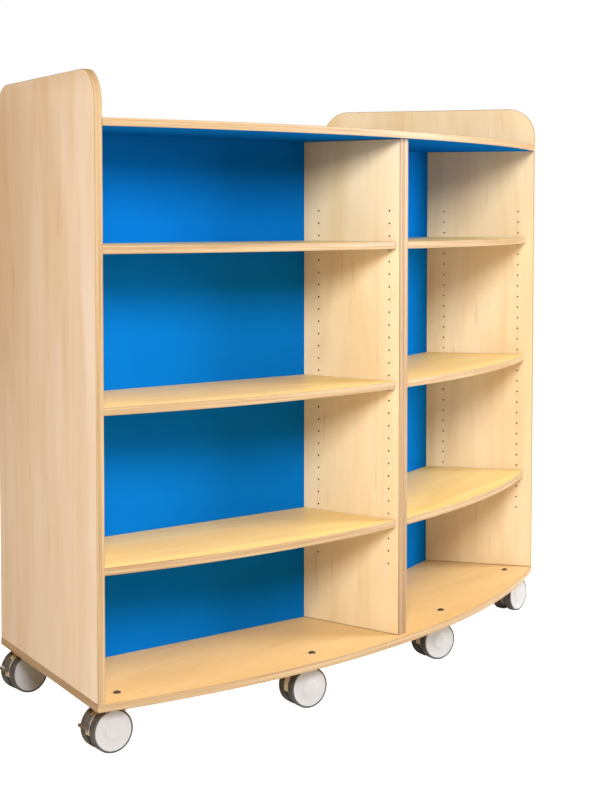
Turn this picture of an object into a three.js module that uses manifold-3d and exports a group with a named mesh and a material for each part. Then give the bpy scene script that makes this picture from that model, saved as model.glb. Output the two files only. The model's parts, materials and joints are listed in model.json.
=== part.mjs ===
// Double-sided book cart on casters: a curved (annular-sector) shelving unit with two bays,
// blue back panels half-way through its depth, book shelves on both sides and eight
// twin-wheel swivel casters. Millimetres, +Z up, front towards -Y, origin on the floor at
// the centre of the bounding box. Every arc is centred on the point (0, ARC_Y).

import * as THREE from 'three';
import { mergeVertices } from 'three/addons/utils/BufferGeometryUtils.js';
import Module from 'manifold-3d';

// ---------------------------------------------------------------- driving dimensions

const BOARD = 18;                    // thickness of every wooden board
const BACK_BOARD = 12;               // thickness of the blue back panels
const R_FRONT = 2396;                // radius of the convex front edge
const R_REAR = 1742;                 // radius of the concave rear edge
const HALF_ANGLE = 22.5;             // degrees from the middle to an end panel's outer face
const ARC_Y = (R_FRONT + R_REAR * Math.cos(rad(HALF_ANGLE))) / 2;

const BASE_Z = 105.5;                // underside of the base plate above the floor
const INSIDE_HEIGHT = 1256;          // base plate to top panel
const END_HEIGHT = 1382.5;            // end panels, standing on the base plate
const END_CORNER_R = 80;             // rounded upper corners of the end panels

const DIVIDER_SETBACK = 18.5;        // divider edges behind the front and rear arcs
const SHELF_SETBACK = 24;            // shelf edges behind the front and rear arcs
const SHELF_CORNER_R = 12;           // rounded corners of a shelf's open edge
const SHELF_TOPS = [294.2, 646.2, 998.2];   // above the base plate
const SHELF_GAP = 0.8;               // play between a shelf and the panels around it
const ARC_STEPS = 12;                // straight steps along one bay's arc

const CASTER_R = { front: 2329, rear: 1800 };
const CASTER_ANGLES = {              // degrees from the middle of the unit
  front: [-20.7, -7.1, 6.7, 20.4],
  rear: [-20.4, -6.8, 6.8, 20.4],
};
const CASTER_HEADING = {             // turn of each caster about its swivel axis, degrees
  front: [-16, -19, -20, 181],
  rear: [-12, -16, -13, -15],
};
const BRAKED = ['front_1', 'rear_1'];
const TRAIL = 27;                    // wheel axle behind the swivel axis
const WHEEL_R = 50;
const WHEEL_IN = 9.5;                // inner face of a wheel from the caster's mid-plane
const WHEEL_OUT = 31;                // outer face of a wheel's tread
const AXLE_R = 4;
const AXLE_HALF = 22;                // half the axle's length
const BOLT_R = 5;
const BOLT_DEPTH = 14;               // below the base plate
const BOLT_HEAD_R = 9;
const BOLT_HEAD_HEIGHT = 4.4;
const WHEEL_SIDES = 24;
const BARREL_R = 22;                 // round head of the swivel housing
const BARREL_HEIGHT = 17.6;
const WEB_R = 49;                    // radius of the web between the wheels
const WEB_HALF = 8.6;                // half its thickness
const WELL_R = 52;                   // clearance cut round each wheel
const WELL_WIDTH = 16;
const SLOT_HALF = 3.2;               // half the slot that holds the brake lever's arm
const BRAKE_RING_R = 8.5;            // ring of the brake lever round the axle
const GUARD_GAP = 1.6;               // between the treads and the brake lever's guard
const GUARD_THICKNESS = 4;
const GUARD_HALF = 8.4;              // half the guard's width
const GUARD_ANGLES = [8, 16, 24, 33, 42];   // degrees above the axle, on the trailing side
const TONGUE_ANGLE = 12;
const TONGUE_REACH = 11;             // beyond the guard's outer face
const TONGUE_HALF = 14;              // half the foot tongue's width

// ---------------------------------------------------------------- materials

const material = (color, roughness, metalness = 0) =>
  new THREE.MeshStandardMaterial({ color, roughness, metalness });
const LOOK = {
  beech: () => material(0xe0c096, 0.45),
  golden: () => material(0xddb67c, 0.45),
  blue: () => material(0x0f62ad, 0.4),
  housing: () => material(0xcdb994, 0.5),
  wheel: () => material(0xe4e0da, 0.45),
  brake: () => material(0x55524e, 0.55),
  steel: () => material(0x4a4038, 0.4, 0.8),
};

// ---------------------------------------------------------------- helpers

function rad(degrees) { return degrees * Math.PI / 180; }

// Point at a radius and an angle from the middle of the unit, in plan.
const polar = (r, degrees) =>
  new THREE.Vector2(r * Math.sin(rad(degrees)), ARC_Y - r * Math.cos(rad(degrees)));

const group = new THREE.Group();
group.name = 'book_cart';

function place(name, geometry, look, parent = group) {
  const mesh = new THREE.Mesh(geometry, LOOK[look]());
  mesh.name = name;
  parent.add(mesh);
  return mesh;
}

const wasm = await Module();
wasm.setup();

function toSolid(geometry) {
  const g = geometry.clone();
  g.deleteAttribute('normal');
  g.deleteAttribute('uv');
  const merged = mergeVertices(g, 1e-4);
  return new wasm.Manifold(new wasm.Mesh({
    numProp: 3,
    vertProperties: new Float32Array(merged.attributes.position.array),
    triVerts: new Uint32Array(merged.index.array),
  }));
}

function toGeometry(solid) {
  const mesh = solid.getMesh();
  const g = new THREE.BufferGeometry();
  g.setAttribute('position', new THREE.BufferAttribute(new Float32Array(mesh.vertProperties), 3));
  g.setIndex(new THREE.BufferAttribute(new Uint32Array(mesh.triVerts), 1));
  g.computeVertexNormals();
  return g;
}

// A horizontal board of the given plan outline, from height z upwards.
function board(points, z, thickness) {
  const g = new THREE.ExtrudeGeometry(new THREE.Shape(points),
    { depth: thickness, bevelEnabled: false });
  return g.translate(0, 0, z);
}

// An upright cylinder.
function upright(r, z0, z1, sides) {
  return new THREE.CylinderGeometry(r, r, z1 - z0, sides)
    .rotateX(Math.PI / 2).translate(0, 0, (z0 + z1) / 2);
}

// Rounds one corner of a plan outline with three steps.
function roundedCorner(before, corner, after, r) {
  const u = before.clone().sub(corner).normalize();
  const v = after.clone().sub(corner).normalize();
  const a = corner.clone().addScaledVector(u, r);
  const b = corner.clone().addScaledVector(v, r);
  return new THREE.QuadraticBezierCurve(a, corner, b).getPoints(3);
}

// Points of an arc about the centre, between two angles in degrees.
function arc(r, from, to, steps) {
  return Array.from({ length: steps + 1 }, (_, i) => polar(r, from + (to - from) * i / steps));
}

// ---------------------------------------------------------------- heights

const baseTop = BASE_Z + BOARD;
const topUnder = baseTop + INSIDE_HEIGHT;

// Angle at which a radius meets the plane that lies `offset` inside an end panel's outer face.
const innerAngle = (r, offset) => HALF_ANGLE - Math.asin(offset / r) * 180 / Math.PI;

// ---------------------------------------------------------------- base plate

const casterSpots = [];
for (const row of ['front', 'rear']) {
  CASTER_ANGLES[row].forEach((angle, i) => {
    casterSpots.push({
      name: `${row}_${i + 1}`,
      at: polar(CASTER_R[row], angle),
      heading: CASTER_HEADING[row][i],
    });
  });
}

const baseOutline = [
  ...arc(R_FRONT, -HALF_ANGLE, HALF_ANGLE, 2 * ARC_STEPS),
  ...arc(R_REAR, HALF_ANGLE, -HALF_ANGLE, 2 * ARC_STEPS),
];
let base = toSolid(board(baseOutline, BASE_Z, BOARD));
for (const { at } of casterSpots) {
  const hole = upright(BOLT_R + 0.5, BASE_Z - 1, baseTop + 1, 12).translate(at.x, at.y, 0);
  base = base.subtract(toSolid(hole));
}
place('base_plate', toGeometry(base), 'golden');

// ---------------------------------------------------------------- top panel

const topGap = BOARD + 0.3;
const topOutline = [
  ...arc(R_FRONT, -innerAngle(R_FRONT, topGap), innerAngle(R_FRONT, topGap), 2 * ARC_STEPS),
  ...arc(R_REAR, innerAngle(R_REAR, topGap), -innerAngle(R_REAR, topGap), 2 * ARC_STEPS),
];
place('top_panel', board(topOutline, topUnder, BOARD), 'blue');

// ---------------------------------------------------------------- end panels

// Upright board in its own plane: u runs from the front edge to the rear one, v upwards.
const endShape = new THREE.Shape();
const endDepth = R_FRONT - R_REAR;
endShape.moveTo(0, 0);
endShape.lineTo(endDepth, 0);
endShape.lineTo(endDepth, END_HEIGHT - END_CORNER_R);
endShape.absarc(endDepth - END_CORNER_R, END_HEIGHT - END_CORNER_R, END_CORNER_R, 0, Math.PI / 2);
endShape.lineTo(END_CORNER_R, END_HEIGHT);
endShape.absarc(END_CORNER_R, END_HEIGHT - END_CORNER_R, END_CORNER_R, Math.PI / 2, Math.PI);
endShape.closePath();

for (const [name, side] of [['left_end_panel', -1], ['right_end_panel', 1]]) {
  const g = new THREE.ExtrudeGeometry(endShape,
    { depth: BOARD, bevelEnabled: false, curveSegments: 8 });
  g.rotateX(Math.PI / 2).rotateZ(Math.PI / 2);      // depth along +Y, thickness along +X
  if (side > 0) g.translate(-BOARD, 0, 0);
  const turn = new THREE.Group();
  const corner = polar(R_FRONT, side * HALF_ANGLE);
  turn.position.set(corner.x, corner.y, baseTop);
  turn.rotation.z = side * rad(HALF_ANGLE);
  group.add(turn);
  place(name, g, 'beech', turn);
}

// ---------------------------------------------------------------- divider

const dividerFront = ARC_Y - (R_FRONT - DIVIDER_SETBACK);
const dividerRear = ARC_Y - (R_REAR + DIVIDER_SETBACK);
for (const [name, x] of [['divider_left_board', -BOARD], ['divider_right_board', 0]]) {
  const g = new THREE.BoxGeometry(BOARD, dividerRear - dividerFront, INSIDE_HEIGHT);
  g.translate(x + BOARD / 2, (dividerFront + dividerRear) / 2, baseTop + INSIDE_HEIGHT / 2);
  place(name, g, 'beech');
}

// ---------------------------------------------------------------- back panels

// Plan corners of a bay between two distances from the arc centre, measured along the bay's
// bisector; the sides follow the divider and the end panel with the given gap.
function bayCorners(side, nearDistance, farDistance, gap) {
  const bisector = new THREE.Vector2(Math.sin(rad(HALF_ANGLE / 2)), -Math.cos(rad(HALF_ANGLE / 2)));
  const outward = new THREE.Vector2(Math.cos(rad(HALF_ANGLE)), Math.sin(rad(HALF_ANGLE)));
  const centre = new THREE.Vector2(0, ARC_Y);
  const across = new THREE.Vector2(-bisector.y, bisector.x);
  const corner = (distance, atEnd) => {
    const p = centre.clone().addScaledVector(bisector, distance);
    // Slide along the panel's line to x = BOARD + gap, or to the end panel's inner face.
    const t = atEnd
      ? (-(BOARD + gap) - p.clone().sub(centre).dot(outward)) / across.dot(outward)
      : (BOARD + gap - p.x) / across.x;
    return p.addScaledVector(across, t);
  };
  const pts = [corner(farDistance, false), corner(farDistance, true),
    corner(nearDistance, true), corner(nearDistance, false)];
  return side > 0 ? pts : pts.map((p) => new THREE.Vector2(-p.x, p.y)).reverse();
}

const backMiddle = (R_FRONT + R_REAR) / 2 * Math.cos(rad(HALF_ANGLE / 2));
const backFrontFace = backMiddle + BACK_BOARD / 2;
const backRearFace = backMiddle - BACK_BOARD / 2;
for (const [name, side] of [['back_panel_left', -1], ['back_panel_right', 1]]) {
  place(name, board(bayCorners(side, backRearFace, backFrontFace, 0.3), baseTop, INSIDE_HEIGHT),
    'blue');
}

// ---------------------------------------------------------------- shelves

// A shelf's plan: three straight sides against the panels and one curved, open edge.
function shelfOutline(side, front) {
  const r = front ? R_FRONT - SHELF_SETBACK : R_REAR + SHELF_SETBACK;
  const backDistance = front ? backFrontFace + SHELF_GAP : backRearFace - SHELF_GAP;
  const back = bayCorners(1, backDistance, backDistance, SHELF_GAP);
  const atDivider = back[0];
  const atEnd = back[1];
  const innerDeg = Math.asin((BOARD + SHELF_GAP) / r) * 180 / Math.PI;
  const outerDeg = innerAngle(r, BOARD + SHELF_GAP);
  const edge = arc(r, innerDeg, outerDeg, ARC_STEPS);
  const inner = roundedCorner(atDivider, edge[0], edge[1], SHELF_CORNER_R);
  const outer = roundedCorner(edge[ARC_STEPS - 1], edge[ARC_STEPS], atEnd, SHELF_CORNER_R);
  let pts = [atDivider, ...inner, ...edge.slice(1, -1), ...outer, atEnd];
  if (!front) pts = pts.reverse();
  return side > 0 ? pts : pts.map((p) => new THREE.Vector2(-p.x, p.y)).reverse();
}

for (const [row, front] of [['front', true], ['rear', false]]) {
  for (const [bay, side] of [['left', -1], ['right', 1]]) {
    const outline = shelfOutline(side, front);
    SHELF_TOPS.forEach((top, i) => {
      place(`shelf_${row}_${bay}_${i + 1}`, board(outline, baseTop + top - BOARD, BOARD), 'golden');
    });
  }
}

// ---------------------------------------------------------------- casters

// Solid of revolution about Z from [radius, height] pairs.
const lathe = (profile, sides, phase = 0) =>
  new THREE.LatheGeometry(profile.map(([r, z]) => new THREE.Vector2(r, z)), sides, phase)
    .rotateX(Math.PI / 2);

// Bolt: low domed head on the base plate, shank down into the swivel housing.
const boltGeometry = lathe([
  [0, BASE_Z - BOLT_DEPTH], [BOLT_R, BASE_Z - BOLT_DEPTH],
  [BOLT_R, baseTop + 0.05], [BOLT_HEAD_R, baseTop + 0.05],
  [BOLT_HEAD_R, baseTop + BOLT_HEAD_HEIGHT / 2], [BOLT_HEAD_R - 3, baseTop + BOLT_HEAD_HEIGHT - 0.4],
  [0, baseTop + BOLT_HEAD_HEIGHT],
], 12);

// Wheel about its own axis: blind bore in the inner face, rounded tread, slightly domed cover.
// The circumscribed radius makes the flats of the polygon, not its corners, touch the floor.
const wheelRim = WHEEL_R / Math.cos(Math.PI / WHEEL_SIDES);
const wheelGeometry = lathe([
  [0, 23], [AXLE_R + 0.1, 23], [AXLE_R + 0.1, WHEEL_IN], [wheelRim - 2.5, WHEEL_IN],
  [wheelRim, WHEEL_IN + 2.5], [wheelRim, WHEEL_OUT - 3], [wheelRim - 4, WHEEL_OUT],
  [0, WHEEL_OUT + 1.5],
], WHEEL_SIDES);

// Swivel housing in the caster's frame: swivel axis at the origin, wheels towards -X.
const AXLE = new THREE.Vector2(-TRAIL, WHEEL_R);

function housingSolid(braked) {
  // Web outline: up the front, round the wheels' trailing side and back under the axle.
  const web = new THREE.Shape();
  web.moveTo(10, 46);
  web.lineTo(15, 70);
  web.lineTo(15, BASE_Z - 6);
  web.lineTo(-14, BASE_Z - 6);
  for (let a = 80; a <= 190; a += 11) {
    web.lineTo(AXLE.x + WEB_R * Math.cos(rad(a)), AXLE.y + WEB_R * Math.sin(rad(a)));
  }
  web.lineTo(-TRAIL - 14, 36);
  web.lineTo(-TRAIL + 12, 34);
  web.closePath();
  const webGeometry = new THREE.ExtrudeGeometry(web, { depth: 2 * WEB_HALF, bevelEnabled: false })
    .translate(0, 0, -WEB_HALF).rotateX(Math.PI / 2);
  let barrel = toSolid(upright(BARREL_R, BASE_Z - 0.4 - BARREL_HEIGHT, BASE_Z - 0.4, 20));
  for (const side of [-1, 1]) {
    const well = new THREE.CylinderGeometry(WELL_R, WELL_R, WELL_WIDTH, 32)
      .translate(-TRAIL, side * (WEB_HALF + 0.7 + WELL_WIDTH / 2), WHEEL_R);
    barrel = barrel.subtract(toSolid(well));
  }
  let solid = toSolid(webGeometry).add(barrel);
  if (braked) {
    const slot = new THREE.BoxGeometry(64, 2 * SLOT_HALF, 80).translate(-TRAIL + 11 - 32, 0, 60);
    solid = solid.subtract(toSolid(slot));
  }
  const axle = new THREE.CylinderGeometry(AXLE_R, AXLE_R, 2 * AXLE_HALF, 12).translate(-TRAIL, 0, WHEEL_R);
  const bore = upright(BOLT_R + 0.3, BASE_Z - BOLT_DEPTH - 1, BASE_Z + 1, 12);
  return solid.add(toSolid(axle)).subtract(toSolid(bore));
}

// Brake lever: a ring round the axle, an arm in the housing's slot, a curved guard and a
// foot tongue.
function brakeSolid() {
  const guardIn = wheelRim + GUARD_GAP;
  const guardOut = guardIn + GUARD_THICKNESS;
  const on = (r, degrees) => new THREE.Vector2(
    AXLE.x - r * Math.cos(rad(degrees)), AXLE.y + r * Math.sin(rad(degrees)));
  const arm = new THREE.Shape([
    ...[TONGUE_ANGLE, 26, 38].map((a) => on(guardIn + 1, a)),
    ...[100, 60, 20, -20, -60].map((a) => on(BRAKE_RING_R, a)),
  ]);
  const ring = new THREE.CylinderGeometry(BRAKE_RING_R, BRAKE_RING_R, 2 * SLOT_HALF - 1, 16)
    .translate(AXLE.x, 0, AXLE.y);
  const hole = new THREE.CylinderGeometry(AXLE_R + 0.25, AXLE_R + 0.25, 20, 16)
    .translate(AXLE.x, 0, AXLE.y);
  const guard = new THREE.Shape([
    ...GUARD_ANGLES.map((a) => on(guardIn, a)),
    ...GUARD_ANGLES.slice().reverse().map((a) => on(guardOut, a)),
  ]);
  const tip = guardOut + TONGUE_REACH;
  const tongue = new THREE.Shape([on(guardIn + 1, TONGUE_ANGLE - 5), on(tip - 2, TONGUE_ANGLE - 3),
    on(tip, TONGUE_ANGLE), on(tip - 2, TONGUE_ANGLE + 3), on(guardIn + 1, TONGUE_ANGLE + 6)]);
  const slab = (shape, half) => toSolid(
    new THREE.ExtrudeGeometry(shape, { depth: 2 * half, bevelEnabled: false })
      .translate(0, 0, -half).rotateX(Math.PI / 2));
  return slab(arm, SLOT_HALF - 0.5).add(toSolid(ring)).add(slab(guard, GUARD_HALF))
    .add(slab(tongue, TONGUE_HALF)).subtract(toSolid(hole));
}

for (const { name, at, heading } of casterSpots) {
  const caster = new THREE.Group();
  caster.position.set(at.x, at.y, 0);
  caster.rotation.z = rad(heading);
  group.add(caster);
  const braked = BRAKED.includes(name);
  place(`caster_${name}_bolt`, boltGeometry.clone(), 'steel', caster);
  place(`caster_${name}_housing`, toGeometry(housingSolid(braked)), 'housing', caster);
  for (const [suffix, side] of [['a', 1], ['b', -1]]) {
    const wheel = place(`caster_${name}_wheel_${suffix}`, wheelGeometry.clone(), 'wheel', caster);
    wheel.position.set(-TRAIL, 0, WHEEL_R);
    wheel.rotation.x = side * Math.PI / 2;
    wheel.rotateZ(Math.PI / WHEEL_SIDES);
  }
  if (braked) place(`caster_${name}_brake`, toGeometry(brakeSolid()), 'brake', caster);
}

export default group;
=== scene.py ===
import json
import math

import bmesh
import bpy
from mathutils import Matrix, Vector


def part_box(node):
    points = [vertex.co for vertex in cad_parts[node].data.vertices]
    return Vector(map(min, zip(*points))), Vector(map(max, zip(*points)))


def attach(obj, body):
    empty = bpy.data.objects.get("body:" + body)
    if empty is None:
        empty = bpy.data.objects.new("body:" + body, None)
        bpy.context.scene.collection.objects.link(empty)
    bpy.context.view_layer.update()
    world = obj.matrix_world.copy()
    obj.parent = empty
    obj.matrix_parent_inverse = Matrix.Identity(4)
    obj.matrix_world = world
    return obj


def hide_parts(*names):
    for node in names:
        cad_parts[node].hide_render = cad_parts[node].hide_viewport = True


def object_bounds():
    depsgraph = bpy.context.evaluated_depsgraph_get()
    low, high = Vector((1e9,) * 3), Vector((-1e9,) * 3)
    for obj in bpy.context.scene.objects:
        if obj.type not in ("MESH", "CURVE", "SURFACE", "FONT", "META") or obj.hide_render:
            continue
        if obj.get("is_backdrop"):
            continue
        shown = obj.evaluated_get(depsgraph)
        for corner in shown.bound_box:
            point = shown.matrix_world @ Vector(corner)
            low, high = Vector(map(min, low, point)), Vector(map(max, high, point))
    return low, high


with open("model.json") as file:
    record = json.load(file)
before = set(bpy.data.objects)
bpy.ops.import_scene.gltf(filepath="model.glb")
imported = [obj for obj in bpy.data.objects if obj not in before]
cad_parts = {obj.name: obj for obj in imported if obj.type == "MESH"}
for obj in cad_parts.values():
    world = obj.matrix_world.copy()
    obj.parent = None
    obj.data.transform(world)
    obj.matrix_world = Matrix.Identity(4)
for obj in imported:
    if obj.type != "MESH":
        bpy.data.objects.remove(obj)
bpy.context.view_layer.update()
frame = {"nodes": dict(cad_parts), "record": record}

# ------------------------------------------------------------------ dimensions, in metres

BOARD = 0.018
R_FRONT, R_REAR = 2.396, 1.742            # convex front edge and concave rear edge
HALF = math.radians(22.5)                 # from the middle to an end panel's outer face
BAY = HALF / 2                            # from the middle to the bisector of a bay
ARC_Y = (R_FRONT + R_REAR * math.cos(HALF)) / 2
BASE_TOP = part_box("base_plate")[1].z
TOP_UNDER, TOP_UPPER = (v.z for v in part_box("top_panel"))
END_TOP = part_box("left_end_panel")[1].z
END_CORNER_R = 0.080
DIVIDER_SETBACK = 0.0185                  # how far the divider stops short of the base's edges
SHELF_SETBACK = 0.024                     # how far a shelf's curved edge stops short of them
SHELF_CORNER_R = 0.014
SHELF_GAP = 0.0008                        # play round a shelf
ARRIS = 0.0017                            # rounding of the edge bands
SEAM = 0.0003                             # play between boards that are fixed together
BACK_HALF = 0.006                         # half the thickness of a back panel
SIDES = (("left", -1), ("right", 1))
ARC_STEPS = 40                            # pieces in the curve of one bay
CORNER_STEPS = 24                         # pieces in one rounded corner of an end panel

PIN_R = 0.0025
PIN_PITCH = 0.032
PIN_COUNT = 29
PIN_FIRST = 0.180                         # lowest hole above the base plate
PIN_SPACING = 0.2255                      # between the two columns of one side
DIVIDER_COLUMN = 0.0325                   # first column behind a divider's edge
END_COLUMN = 0.0467                       # first column behind an end panel's edge
HOLE_DEPTH = 0.011
HOLE_STEPS = 12
PIN_STEPS = 16

# Angles, in degrees, above which an edge stays sharp.
BOARD_SHARP = 20.0
WHEEL_SHARP = 35.0
FITTING_SHARP = 40.0


def polar(radius, angle):
    """A point round the centre of the curve, its angle taken from -Y towards +X."""
    return Vector((radius * math.sin(angle), ARC_Y - radius * math.cos(angle)))


# ------------------------------------------------------------------ materials


class Nodes:
    """A new material with short helpers for its node tree."""

    def __init__(self, name, roughness, metallic=0.0, specular=0.5):
        self.mat = bpy.data.materials.new(name)
        self.mat.use_nodes = True
        self.tree = self.mat.node_tree
        self.shader = self.tree.nodes["Principled BSDF"]
        self.shader.inputs["Roughness"].default_value = roughness
        self.shader.inputs["Metallic"].default_value = metallic
        self.shader.inputs["Specular IOR Level"].default_value = specular
        self.coords = self.tree.nodes.new("ShaderNodeTexCoord").outputs["Object"]

    def link(self, a, b):
        self.tree.links.new(a, b)

    def turned(self, rotation):
        node = self.tree.nodes.new("ShaderNodeMapping")
        node.inputs["Rotation"].default_value = rotation
        self.link(self.coords, node.inputs["Vector"])
        return node.outputs["Vector"]

    def noise(self, vector, scale, detail=3.0, rough=0.5, distortion=0.0):
        stretch = self.tree.nodes.new("ShaderNodeMapping")
        stretch.inputs["Scale"].default_value = scale
        self.link(vector, stretch.inputs["Vector"])
        node = self.tree.nodes.new("ShaderNodeTexNoise")
        node.inputs["Scale"].default_value = 1.0
        node.inputs["Detail"].default_value = detail
        node.inputs["Roughness"].default_value = rough
        node.inputs["Distortion"].default_value = distortion
        self.link(stretch.outputs["Vector"], node.inputs["Vector"])
        return node.outputs["Fac"]

    def spread(self, value, low, high, to_low=0.0, to_high=1.0):
        node = self.tree.nodes.new("ShaderNodeMapRange")
        for key, number in zip(("From Min", "From Max", "To Min", "To Max"),
                               (low, high, to_low, to_high)):
            node.inputs[key].default_value = number
        self.link(value, node.inputs["Value"])
        return node.outputs["Result"]

    def mix(self, factor, a, b):
        node = self.tree.nodes.new("ShaderNodeMix")
        node.data_type = "RGBA"
        self.link(factor, node.inputs["Factor"])
        for socket, colour in ((node.inputs[6], a), (node.inputs[7], b)):
            if isinstance(colour, tuple):
                socket.default_value = (*colour, 1.0)
            else:
                self.link(colour, socket)
        return node.outputs[2]

    def bump(self, value, distance, strength=1.0):
        node = self.tree.nodes.new("ShaderNodeBump")
        node.inputs["Distance"].default_value = distance
        node.inputs["Strength"].default_value = strength
        self.link(value, node.inputs["Height"])
        self.link(node.outputs["Normal"], self.shader.inputs["Normal"])

    def colour(self, output):
        self.link(output, self.shader.inputs["Base Color"])

    def roughness(self, output):
        self.link(output, self.shader.inputs["Roughness"])


def wood_face(name, light, dark, figure, along, turn):
    """Printed beech laminate: cloudy tones, soft figure, a few streaks and fine pores.

    The grain runs along one axis of the coordinates, which are first turned about Z.
    """
    m = Nodes(name, 0.46, specular=0.25)
    place = m.turned((0.0, 0.0, turn))

    def stretched(along_scale, across_scale):
        return tuple(along_scale if axis == along else across_scale for axis in "xyz")

    cloud = m.spread(m.noise(place, stretched(1.6, 7.0), 3.0, 0.50, 0.8), 0.34, 0.66)
    bands = m.spread(m.noise(place, stretched(1.5, 15.0), 2.5, 0.45, 1.0), 0.46, 0.72)
    streaks = m.spread(m.noise(place, stretched(5.5, 75.0), 1.0, 0.5, 0.3), 0.66, 0.80)
    pores = m.spread(m.noise(place, stretched(24.0, 330.0), 2.0, 0.5), 0.55, 0.80)
    tone = m.mix(cloud, light, dark)
    figured = m.mix(m.spread(bands, 0.0, 1.0, 0.0, 0.25), tone, figure)
    streaked = m.mix(m.spread(streaks, 0.0, 1.0, 0.0, 0.45), figured, figure)
    m.colour(m.mix(m.spread(pores, 0.0, 1.0, 0.0, 0.05), streaked, tuple(c * 0.62 for c in dark)))
    m.roughness(m.spread(bands, 0.0, 1.0, 0.42, 0.52))
    m.bump(pores, 0.00008, 0.25)
    return m.mat


def wood_band(name, light, dark, across, turn):
    """Edge band: thin lengthwise stripes stacked across the board's thickness.

    The thickness lies along one axis of the coordinates, which are first turned about Z.
    """
    m = Nodes(name, 0.42, specular=0.25)
    place = m.turned((0.0, 0.0, turn))

    def stretched(along_scale, across_scale):
        return tuple(across_scale if axis == across else along_scale for axis in "xyz")

    stripes = m.spread(m.noise(place, stretched(2.2, 260.0), 3.0, 0.6, 0.25), 0.36, 0.66)
    flecks = m.spread(m.noise(place, stretched(30.0, 700.0), 2.0, 0.5), 0.55, 0.8)
    tone = m.mix(stripes, light, dark)
    m.colour(m.mix(m.spread(flecks, 0.0, 1.0, 0.0, 0.3), tone, tuple(c * 0.6 for c in dark)))
    m.roughness(m.spread(stripes, 0.0, 1.0, 0.38, 0.50))
    m.bump(stripes, 0.0001, 0.3)
    return m.mat


def speckled(name, light, dark, roughness, grain=900.0, broad=9.0, bump=0.00008, specular=0.5,
             metallic=0.0):
    """Moulded plastic, rubber, metal or plain laminate: slow tone shifts and a fine grain."""
    m = Nodes(name, roughness, metallic, specular)
    slow = m.spread(m.noise(m.coords, (broad,) * 3, 4.0, 0.6), 0.3, 0.7)
    fine = m.noise(m.coords, (grain,) * 3, 2.0, 0.5)
    mottled = m.mix(slow, light, dark)
    m.colour(m.mix(m.spread(fine, 0.35, 0.75, 0.0, 0.35), mottled, dark))
    m.roughness(m.spread(slow, 0.0, 1.0, roughness * 0.88, min(1.0, roughness * 1.15)))
    m.bump(fine, bump, 0.5)
    return m.mat


def chipboard_and_hole_shade(name):
    """Raw core of the boards, seen only inside the drilled holes: the core's own brown, painted far
    darker as painted shade inside the holes.
    """
    m = Nodes(name, 0.85)
    chips = m.spread(m.noise(m.coords, (700.0,) * 3, 3.0, 0.7), 0.35, 0.65)
    # painted shade: the core's brown made far darker, for the shade inside the holes
    m.colour(m.mix(chips, (0.055, 0.026, 0.010), (0.13, 0.066, 0.028)))
    m.bump(chips, 0.0003)
    return m.mat


# Painted light: the end panels and the divider are one laminate, but the left end panel gets a
# paler, cooler copy of its tones and the other panels a more golden copy, following how each face is
# lit.
LEFT_PAINTED_LIGHT_TONES = ((0.750, 0.695, 0.625), (0.690, 0.600, 0.475), (0.575, 0.435, 0.270))
PANEL_TONES = ((0.755, 0.640, 0.440), (0.695, 0.550, 0.325), (0.580, 0.385, 0.170))
SHELF_TONES = ((0.855, 0.650, 0.275), (0.800, 0.580, 0.220), (0.670, 0.435, 0.140))
# Painted shade: the base plate is the shelves' laminate in darker tones, for the shade it lies in.
BASE_PAINTED_SHADE_TONES = ((0.660, 0.475, 0.235), (0.610, 0.420, 0.190), (0.525, 0.330, 0.125))
BAND_TONES = ((0.410, 0.315, 0.190), (0.285, 0.185, 0.095))
# Painted shade: the divider's edge bands are the same band in darker tones, for how dimly they are
# lit.
DIVIDER_BAND_PAINTED_SHADE_TONES = ((0.345, 0.245, 0.140), (0.235, 0.145, 0.072))

looks = {
    # painted shade: the holes' core colour is darkened for the shade inside them
    "core": chipboard_and_hole_shade("raw_chipboard_and_painted_shade"),
    "blue": speckled("blue_laminate_look", (0.002, 0.138, 0.490), (0.002, 0.122, 0.445), 0.45,
                     grain=1300.0, broad=3.0, bump=0.00006, specular=0.0),
    "wheel": speckled("wheel_cover_look", (0.395, 0.418, 0.450), (0.368, 0.390, 0.420), 0.40,
                      grain=1500.0, broad=40.0, bump=0.00004),
    "tread": speckled("tread_look", (0.078, 0.078, 0.080), (0.041, 0.041, 0.042), 0.62,
                      grain=1100.0, broad=60.0, bump=0.0001),
    "housing": speckled("caster_housing_look", (0.58, 0.52, 0.41), (0.50, 0.44, 0.34), 0.5,
                        grain=1300.0, broad=50.0),
    "brake": speckled("brake_look", (0.105, 0.098, 0.090), (0.070, 0.065, 0.060), 0.5,
                      grain=1300.0, broad=50.0),
    "bolt": speckled("bolt_look", (0.16, 0.12, 0.09), (0.08, 0.06, 0.045), 0.35,
                     grain=900.0, broad=120.0, metallic=0.85),
    "pin": speckled("pin_look", (0.62, 0.60, 0.57), (0.48, 0.46, 0.44), 0.3,
                    grain=900.0, broad=120.0, metallic=1.0),
    "divider": wood_face("beech_divider_look", *PANEL_TONES, "z", 0.0),
    # painted shade: darker tones of the edge band on the divider
    "divider_band": wood_band("beech_divider_band_painted_shade_look", *DIVIDER_BAND_PAINTED_SHADE_TONES, "x", 0.0),
    # painted shade: darker tones of the shelf laminate on the base plate
    "base": wood_face("beech_base_painted_shade_look", *BASE_PAINTED_SHADE_TONES, "x", 0.0),
    "level_band": wood_band("beech_level_band_look", *BAND_TONES, "z", 0.0),
}
for word, sign in SIDES:
    # painted light: the left end panel takes the paler copy of the panel laminate
    looks[f"end_{word}"] = wood_face(f"beech_end_{word}_look",
                                     *(LEFT_PAINTED_LIGHT_TONES if sign < 0 else PANEL_TONES), "z", 0.0)
    looks[f"end_band_{word}"] = wood_band(f"beech_end_band_{word}_look", *BAND_TONES, "x",
                                          -sign * HALF)
    looks[f"shelf_{word}"] = wood_face(f"beech_shelf_{word}_look", *SHELF_TONES, "x", -sign * BAY)


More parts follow.
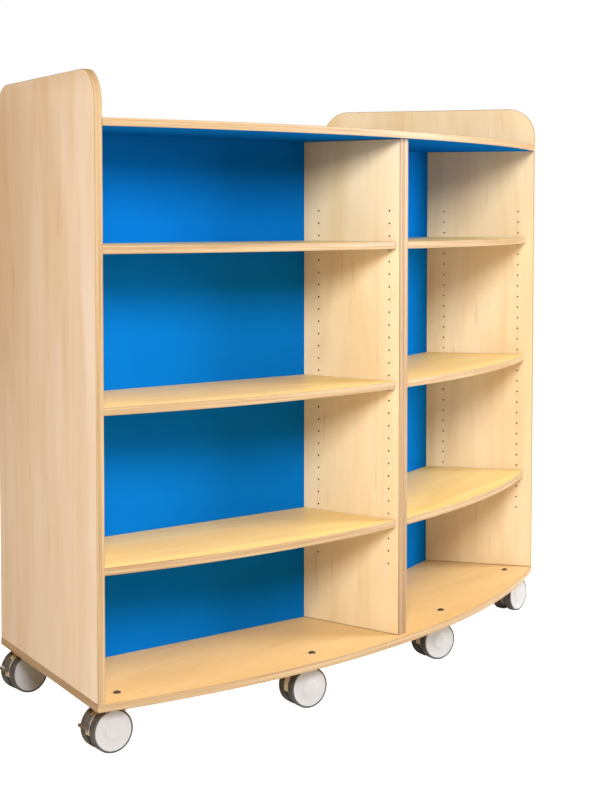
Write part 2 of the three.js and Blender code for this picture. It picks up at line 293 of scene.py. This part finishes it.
# ------------------------------------------------------------------ mesh helpers


def finish_piece(bm, name, materials, body, cad_nodes, sharp=BOARD_SHARP):
    """Turns the mesh into a named piece that moves with a body and stands for CAD nodes."""
    bmesh.ops.remove_doubles(bm, verts=bm.verts[:], dist=1e-7)
    bmesh.ops.recalc_face_normals(bm, faces=bm.faces[:])
    mesh = bpy.data.meshes.new(name)
    bm.to_mesh(mesh)
    bm.free()
    for material in materials:
        mesh.materials.append(looks[material])
    for polygon in mesh.polygons:
        polygon.use_smooth = True
    mesh.set_sharp_from_angle(angle=math.radians(sharp))
    piece = bpy.data.objects.new(name, mesh)
    bpy.context.scene.collection.objects.link(piece)
    if cad_nodes:
        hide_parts(*cad_nodes)
    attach(piece, body)


def inset(loop, distance):
    """The anticlockwise loop moved inwards by a distance, with mitred corners."""
    moved = []
    for i, p in enumerate(loop):
        a, b = p - loop[i - 1], loop[(i + 1) % len(loop)] - p
        n1 = Vector((-a.y, a.x)).normalized()
        n2 = Vector((-b.y, b.x)).normalized()
        moved.append(p + (n1 + n2) * (distance / (1.0 + n1.dot(n2))))
    return moved


def anticlockwise(loop):
    """The same outline, turned round if its area comes out negative."""
    area = sum(p.x * q.y - q.x * p.y for p, q in zip(loop, loop[1:] + loop[:1]))
    return loop if area > 0 else loop[::-1]


def add_board(bm, loop, thickness, matrix, arris=ARRIS, holes=(), steps=3):
    """A board of the given outline, with holes drilled in its far face.

    Its faces are in material 0, its rounded edges in 1 and the holes in 2.
    """
    loop = anticlockwise(loop)
    rings = []
    for k in range(steps + 1):
        a = math.pi / 2 * k / steps
        rings.append((arris * (1 - math.sin(a)), arris * (1 - math.cos(a))))
    rings += [(i, thickness - w) for i, w in reversed(rings)]
    made = []
    for distance, w in rings:
        pts = inset(loop, distance) if distance > 1e-9 else loop
        made.append([bm.verts.new(matrix @ Vector((p.x, p.y, w))) for p in pts])
    count = len(loop)
    for low, high in zip(made, made[1:]):
        for i in range(count):
            j = (i + 1) % count
            bm.faces.new((low[i], low[j], high[j], high[i])).material_index = 1
    bm.faces.new(made[0]).material_index = 0
    top = made[-1]
    if not holes:
        bm.faces.new(top).material_index = 0
        return
    edges = [bm.edges.get((top[i], top[(i + 1) % count])) for i in range(count)]
    for u, v in holes:
        mouth, floor = [], []
        for k in range(HOLE_STEPS):
            a = 2 * math.pi * k / HOLE_STEPS
            cu, cv = u + PIN_R * math.cos(a), v + PIN_R * math.sin(a)
            mouth.append(bm.verts.new(matrix @ Vector((cu, cv, thickness))))
            floor.append(bm.verts.new(matrix @ Vector((cu, cv, thickness - HOLE_DEPTH))))
        for k in range(HOLE_STEPS):
            n = (k + 1) % HOLE_STEPS
            bm.faces.new((mouth[k], mouth[n], floor[n], floor[k])).material_index = 2
            edges.append(bm.edges.get((mouth[k], mouth[n])))
        bm.faces.new(floor).material_index = 2
    filled = bmesh.ops.triangle_fill(bm, use_beauty=True, use_dissolve=False, edges=edges)
    for item in filled["geom"]:
        if isinstance(item, bmesh.types.BMFace):
            item.material_index = 0


def board(name, loop, thickness, matrix, materials, cad_nodes, slot, **shape):
    """One board of the cabinet as a piece of its own."""
    bm = bmesh.new()
    add_board(bm, loop, thickness, matrix, **shape)
    finish_piece(bm, name, materials, "cabinet", cad_nodes)


def add_lathe(bm, profile, centre, axis, segments, ring=False):
    """Turns (radius, height along the axis) pairs round an axis; a ring closes on itself."""
    axis = axis.normalized()
    side = axis.orthogonal().normalized()
    other = axis.cross(side)
    rows = []
    for radius, height in profile:
        base = centre + axis * height
        if radius < 1e-9:
            rows.append([bm.verts.new(base)])
            continue
        rows.append([bm.verts.new(base + (side * math.cos(t) + other * math.sin(t)) * radius)
                     for t in (2 * math.pi * k / segments for k in range(segments))])
    pairs = list(zip(rows, rows[1:])) + ([(rows[-1], rows[0])] if ring else [])
    for a, b in pairs:
        for k in range(segments):
            n = (k + 1) % segments
            corners = [a[k % len(a)], a[n % len(a)], b[n % len(b)], b[k % len(b)]]
            unique = [v for i, v in enumerate(corners) if v not in corners[:i]]
            bm.faces.new(unique)


def arc(radius, start, end, steps):
    """Points from one angle to another round the centre of the curve."""
    return [polar(radius, start + (end - start) * i / steps) for i in range(steps + 1)]


def rounded(before, corner, after, radius, steps=6):
    """Points that round one corner of an outline."""
    a = corner + (before - corner).normalized() * radius
    b = corner + (after - corner).normalized() * radius
    pts = []
    for k in range(steps + 1):
        t = k / steps
        pts.append(a * (1 - t) ** 2 + corner * (2 * t * (1 - t)) + b * t ** 2)
    return pts


# ------------------------------------------------------------------ base, top, end panels


def level(z):
    """Lays an outline flat with its lower face at a height."""
    return Matrix.Translation((0.0, 0.0, z))


def curve_angle(radius, gap):
    """The angle at which a curve of this radius comes within a gap of a plane through its centre."""
    return math.asin(gap / radius)


outline = arc(R_FRONT, -HALF, HALF, 2 * ARC_STEPS) + arc(R_REAR, HALF, -HALF, 2 * ARC_STEPS)
board("base_board", outline, BOARD, level(BASE_TOP - BOARD), ("base", "level_band"),
      ("base_plate",), "golden_laminate")

front_end, rear_end = (HALF - curve_angle(r, BOARD + SEAM) for r in (R_FRONT, R_REAR))
outline = (arc(R_FRONT, -front_end, front_end, 2 * ARC_STEPS)
           + arc(R_REAR, rear_end, -rear_end, 2 * ARC_STEPS))
board("top_board", outline, BOARD, level(TOP_UNDER), ("blue", "level_band"),
      ("top_panel",), "blue_laminate")

# The holes' heights above the base plate, and the columns' distances behind the front edge.
heights = [PIN_FIRST + PIN_PITCH * k for k in range(PIN_COUNT)]
depth = R_FRONT - R_REAR
columns = [END_COLUMN, END_COLUMN + PIN_SPACING]
columns += [depth - c for c in columns]
end_height = END_TOP - BASE_TOP
outline = [Vector((0, 0)), Vector((depth, 0))]
for cx, start in ((depth - END_CORNER_R, 0.0), (END_CORNER_R, math.pi / 2)):
    for k in range(CORNER_STEPS + 1):
        a = start + math.pi / 2 * k / CORNER_STEPS
        outline.append(Vector((cx + END_CORNER_R * math.cos(a),
                               end_height - END_CORNER_R + END_CORNER_R * math.sin(a))))
end_frames = {}
for word, sign in SIDES:
    corner = polar(R_FRONT, sign * HALF)
    rearwards = Vector((-sign * math.sin(HALF), math.cos(HALF), 0.0))
    inwards = Vector((-sign * math.cos(HALF), -math.sin(HALF), 0.0))
    matrix = Matrix((rearwards, (0.0, 0.0, 1.0), inwards)).transposed().to_4x4()
    matrix.translation = (corner.x, corner.y, BASE_TOP)
    end_frames[sign] = matrix
    board(f"end_board_{word}", outline, BOARD, matrix,
          (f"end_{word}", f"end_band_{word}", "core"), (f"{word}_end_panel",), "beech_laminate",
          holes=[(u, v) for u in columns for v in heights])

# ------------------------------------------------------------------ divider and back panels

div_front = ARC_Y - (R_FRONT - DIVIDER_SETBACK)
div_rear = ARC_Y - (R_REAR + DIVIDER_SETBACK)
div_depth = div_rear - div_front
div_columns = [DIVIDER_COLUMN, DIVIDER_COLUMN + PIN_SPACING]
div_columns += [div_depth - c for c in div_columns]
height = TOP_UNDER - BASE_TOP
rectangle = [Vector(p) for p in ((0, 0), (div_depth, 0), (div_depth, height), (0, height))]
for word, sign in SIDES:
    matrix = Matrix(((0, 1, 0), (0, 0, 1), (sign, 0, 0))).transposed().to_4x4()
    matrix.translation = (0.0, div_front, BASE_TOP)
    board(f"divider_board_{word}", rectangle, BOARD, matrix,
          ("divider", "divider_band", "core"), (f"divider_{word}_board",), "beech_laminate",
          holes=[(u, v) for u in div_columns for v in heights])


def bay_point(sign, distance, at_end, gap):
    """Where a line across a bay, at a distance from the arc centre, meets its side walls."""
    bisector = Vector((math.sin(BAY), -math.cos(BAY)))
    outward = Vector((math.cos(HALF), math.sin(HALF)))
    across = Vector((-bisector.y, bisector.x))
    start = bisector * distance
    if at_end:
        t = (-(BOARD + gap) - start.dot(outward)) / across.dot(outward)
    else:
        t = (BOARD + gap - start.x) / across.x
    p = start + across * t
    return Vector((sign * p.x, p.y + ARC_Y))


# The distance from the centre of the curve to the middle of the back panels.
middle = (R_FRONT + R_REAR) / 2 * math.cos(BAY)
for word, sign in SIDES:
    loop = [bay_point(sign, d, e, SEAM) for d, e in
            ((middle + BACK_HALF, False), (middle + BACK_HALF, True),
             (middle - BACK_HALF, True), (middle - BACK_HALF, False))]
    board(f"back_board_{word}", loop, height, level(BASE_TOP), ("blue", "blue"),
          (f"back_panel_{word}",), "blue_laminate", arris=0.0004, steps=1)

# ------------------------------------------------------------------ shelves and their pins


def shelf_outline(sign, front):
    """A shelf: straight along the back panel and both walls, curved along its open edge."""
    r = R_FRONT - SHELF_SETBACK if front else R_REAR + SHELF_SETBACK
    back = middle + (1 if front else -1) * (BACK_HALF + SHELF_GAP)
    gap = BOARD + SHELF_GAP
    curve = arc(r, curve_angle(r, gap), HALF - curve_angle(r, gap), ARC_STEPS)
    at_divider = bay_point(1, back, False, SHELF_GAP)
    at_end = bay_point(1, back, True, SHELF_GAP)
    pts = [at_divider] + rounded(at_divider, curve[0], curve[1], SHELF_CORNER_R)
    pts += curve[1:-1] + rounded(curve[-2], curve[-1], at_end, SHELF_CORNER_R) + [at_end]
    return [Vector((sign * p.x, p.y)) for p in pts]


# A pin has a shank in the hole (radius, distance out of the wall), a plate that lies on the wall
# (across, up) and a blade that carries the shelf (across, out of the wall).
PIN_SHANK = ((0, -0.009), (PIN_R * 0.88, -0.009), (PIN_R * 0.94, -0.008), (PIN_R * 0.94, 0.0004),
             (0, 0.0004))
PIN_PLATE = ((-0.0038, -0.0072), (0.0038, -0.0072), (0.0042, -0.0064), (0.0042, 0.0),
             (-0.0042, 0.0), (-0.0042, -0.0064))
PIN_BLADE = ((-0.0040, 0.0004), (0.0040, 0.0004), (0.0040, 0.0070), (0.0028, 0.0090),
             (-0.0028, 0.0090), (-0.0040, 0.0070))
PLATE_THICKNESS = 0.0005
PLATE_GAP = 0.0002
BLADE_THICKNESS = 0.0016


def add_pin(bm, mouth, direction):
    """A steel shelf support in the hole at a place, pointing out of the wall."""
    add_lathe(bm, PIN_SHANK, mouth, direction, PIN_STEPS)
    across = Vector((-direction.y, direction.x, 0.0))
    turn = Matrix((across, (0.0, 0.0, 1.0), direction)).transposed().to_4x4()
    turn.translation = mouth + direction * PLATE_GAP
    add_board(bm, [Vector(p) for p in PIN_PLATE], PLATE_THICKNESS, turn, arris=0.0001, steps=1)
    turn = Matrix((across, direction, (0.0, 0.0, 1.0))).transposed().to_4x4()
    turn.translation = mouth + Vector((0.0, 0.0, -BLADE_THICKNESS))
    add_board(bm, [Vector(p) for p in PIN_BLADE], BLADE_THICKNESS, turn, arris=0.0003, steps=2)


def shelf_pins(name, sign, front, underside):
    """The four pins of one shelf, in the row of holes nearest to its underside."""
    bm = bmesh.new()
    height = heights[round((underside - BASE_TOP - PIN_FIRST) / PIN_PITCH)]
    near = slice(0, 2) if front else slice(2, 4)
    for column in div_columns[near]:
        mouth = Vector((sign * BOARD, div_front + column, BASE_TOP + height))
        add_pin(bm, mouth, Vector((sign, 0, 0)))
    place = end_frames[sign]
    for column in columns[near]:
        add_pin(bm, place @ Vector((column, height, BOARD)), place.to_3x3() @ Vector((0, 0, 1)))
    for face in bm.faces:
        face.material_index = 0                   # a pin is one material all over
    finish_piece(bm, name, ("pin",), "cabinet", (), FITTING_SHARP)


for row, front in (("front", True), ("rear", False)):
    for word, sign in SIDES:
        loop = shelf_outline(sign, front)
        for i in (1, 2, 3):
            node = f"shelf_{row}_{word}_{i}"
            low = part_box(node)[0]
            board(f"{node}_board", loop, BOARD, level(low.z), (f"shelf_{word}", "level_band"),
                  (node,), "golden_laminate")
            shelf_pins(f"{node}_pins", sign, front, low.z)

# ------------------------------------------------------------------ casters

joints = {j["name"]: j for j in frame["record"]["behaviour"]["joints"]}

# The turned profiles are (radius, distance from the middle of the caster) pairs.
TREAD = [(0.0400, 0.0096), (0.0465, 0.0096), (0.0484, 0.0101), (0.0496, 0.0114), (0.0500, 0.0135),
         (0.0500, 0.0278), (0.0499, 0.0295), (0.0496, 0.0308), (0.0491, 0.0316),
         (0.0484, 0.0320), (0.0468, 0.0321), (0.0461, 0.0318), (0.0458, 0.0310),
         (0.0458, 0.0240), (0.0400, 0.0235)]
COVER = [(0.0, 0.0225), (0.0042, 0.0225), (0.0042, 0.0120), (0.0090, 0.0112), (0.0095, 0.0125),
         (0.0100, 0.0135), (0.0340, 0.0135), (0.0375, 0.0100), (0.0397, 0.0098),
         (0.0398, 0.0238), (0.0454, 0.0243), (0.0454, 0.0308), (0.0451, 0.0314),
         (0.0445, 0.0317), (0.0436, 0.0318), (0.0423, 0.0314), (0.0410, 0.0311),
         (0.0300, 0.0315), (0.0215, 0.0317), (0.0206, 0.0319), (0.0199, 0.0323),
         (0.0188, 0.0325), (0.0100, 0.0325), (0.0, 0.0325)]
# The bolt's profile is (radius, height above the base board) pairs, ending in the socket.
BOLT = [(0.0, -0.012), (0.0048, -0.012), (0.0048, 0.0001), (0.0090, 0.0001), (0.0092, 0.0006),
        (0.0088, 0.0017), (0.0074, 0.0031), (0.0056, 0.0039), (0.0046, 0.0042),
        (0.0038, 0.0041), (0.0036, 0.0034), (0.0034, 0.0016), (0.0, 0.0012)]
BEVELS = {"housing": 0.0008, "brake": 0.0009}
WHEEL_STEPS = 72
BOLT_STEPS = 36


def soften(part, width):
    """Rounds the sharp edges of a carried-over solid by a modifier; its mesh stays as it is."""
    bevel = part.modifiers.new("soften", "BEVEL")
    bevel.width, bevel.segments = width, 2
    bevel.limit_method, bevel.angle_limit = "ANGLE", math.radians(WHEEL_SHARP)


for row in ("front", "rear"):
    for number in (1, 2, 3, 4):
        name = f"caster_{row}_{number}"
        swivel = Vector(joints[f"{name}_swivel"]["pos_m"])
        bm = bmesh.new()
        add_lathe(bm, BOLT, Vector((swivel.x, swivel.y, BASE_TOP)), Vector((0, 0, 1)), BOLT_STEPS)
        finish_piece(bm, f"{name}_screw", ("bolt",), "cabinet", (f"{name}_bolt",),
                     FITTING_SHARP)
        for letter, side in (("a", -1), ("b", 1)):
            wheel = f"{name}_wheel_{letter}"
            roll = joints[f"{wheel}_roll"]
            centre, axis = Vector(roll["pos_m"]), Vector(roll["axis"]) * side
            bm = bmesh.new()
            add_lathe(bm, COVER, centre, axis, WHEEL_STEPS)
            finish_piece(bm, f"{wheel}_cover", ("wheel",), wheel, (wheel,),
                         WHEEL_SHARP)
            bm = bmesh.new()
            add_lathe(bm, TREAD, centre, axis, WHEEL_STEPS, ring=True)
            finish_piece(bm, f"{wheel}_tread", ("tread",), wheel, (),
                         WHEEL_SHARP)
        for look, width in BEVELS.items():
            part = frame["nodes"].get(f"{name}_{look}")
            if part:
                part.data.materials.clear()
                part.data.materials.append(looks[look])
                soften(part, width)

# ------------------------------------------------------------------ stage, camera and lights

FLOOR_LIFT = 0.95                         # glow that whitens the floor where it is seen directly
FLOOR_HALF = 60                           # half the side of the floor
FILL = 0.60                               # strength of the even light from all sides
FILL_COLOUR = (1.0, 0.58, 0.22, 1.0)
AIM_HEIGHT = 0.75                         # the lamps point at the middle of the unit

floor_bm = bmesh.new()
for x, y in ((-1, -1), (1, -1), (1, 1), (-1, 1)):
    floor_bm.verts.new((x * FLOOR_HALF, y * FLOOR_HALF, 0.0))
floor_bm.faces.new(floor_bm.verts[:])
floor_mesh = bpy.data.meshes.new("floor")
floor_bm.to_mesh(floor_mesh)
floor_bm.free()
floor = bpy.data.objects.new("floor", floor_mesh)
bpy.context.scene.collection.objects.link(floor)


def floor_paint():
    """A pale studio floor: lit as a plain surface, and lifted towards white where it is seen."""
    m = Nodes("floor_look", 0.9, specular=0.1)
    cloud = m.spread(m.noise(m.coords, (0.4,) * 3, 3.0, 0.5), 0.3, 0.7)
    m.colour(m.mix(cloud, (0.80, 0.79, 0.77), (0.78, 0.77, 0.75)))
    rays = m.tree.nodes.new("ShaderNodeLightPath").outputs["Is Camera Ray"]
    m.shader.inputs["Emission Color"].default_value = (1.0, 1.0, 1.0, 1.0)
    m.link(m.spread(rays, 0.0, 1.0, 0.0, FLOOR_LIFT), m.shader.inputs["Emission Strength"])
    return m.mat


floor_mesh.materials.append(floor_paint())
floor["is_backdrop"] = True

world = bpy.data.worlds.new("studio")
bpy.context.scene.world = world
world.use_nodes = True
backdrop = world.node_tree.nodes["Background"]
fill = world.node_tree.nodes.new("ShaderNodeBackground")
fill.inputs["Color"].default_value = FILL_COLOUR
fill.inputs["Strength"].default_value = FILL
backdrop.inputs["Color"].default_value = (1.0, 1.0, 1.0, 1.0)
seen = world.node_tree.nodes.new("ShaderNodeLightPath")
either = world.node_tree.nodes.new("ShaderNodeMixShader")
for source, target in ((seen.outputs["Is Camera Ray"], either.inputs[0]),
                       (fill.outputs[0], either.inputs[1]),
                       (backdrop.outputs[0], either.inputs[2]),
                       (either.outputs[0], world.node_tree.nodes["World Output"].inputs[0])):
    world.node_tree.links.new(source, target)


def softbox(name, bearing, distance, height, size, power):
    """A round soft light aimed at the unit; its bearing is in degrees from -Y towards -X."""
    data = bpy.data.lights.new(name, "AREA")
    data.shape, data.size, data.energy = "DISK", size, power
    lamp = bpy.data.objects.new(name, data)
    bpy.context.scene.collection.objects.link(lamp)
    turn = math.radians(bearing)
    lamp.location = (-distance * math.sin(turn), -distance * math.cos(turn), height)
    aim = Vector((0.0, 0.0, AIM_HEIGHT)) - lamp.location
    lamp.rotation_euler = aim.to_track_quat("-Z", "Y").to_euler()


softbox("key", bearing=46, distance=4.4, height=2.6, size=1.4, power=225)
softbox("right", bearing=-44, distance=4.4, height=1.8, size=2.2, power=245)
softbox("back", bearing=207, distance=4.6, height=2.4, size=2.2, power=115)

# The lens, its shift and the place of the camera were fitted to the photo.
camera_data = bpy.data.cameras.new("camera")
camera_data.sensor_width = 36.0
camera_data.lens = 73.4
camera_data.shift_x, camera_data.shift_y = 0.0179, -0.1239
camera = bpy.data.objects.new("camera", camera_data)
camera.location = (-3.3706, -2.7330, 1.1870)
camera.rotation_euler = (math.radians(90 - 2.991), 0.0, math.radians(-50.872))
bpy.context.scene.collection.objects.link(camera)
bpy.context.scene.camera = camera
bpy.context.scene.view_settings.view_transform = "Standard"

low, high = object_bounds()
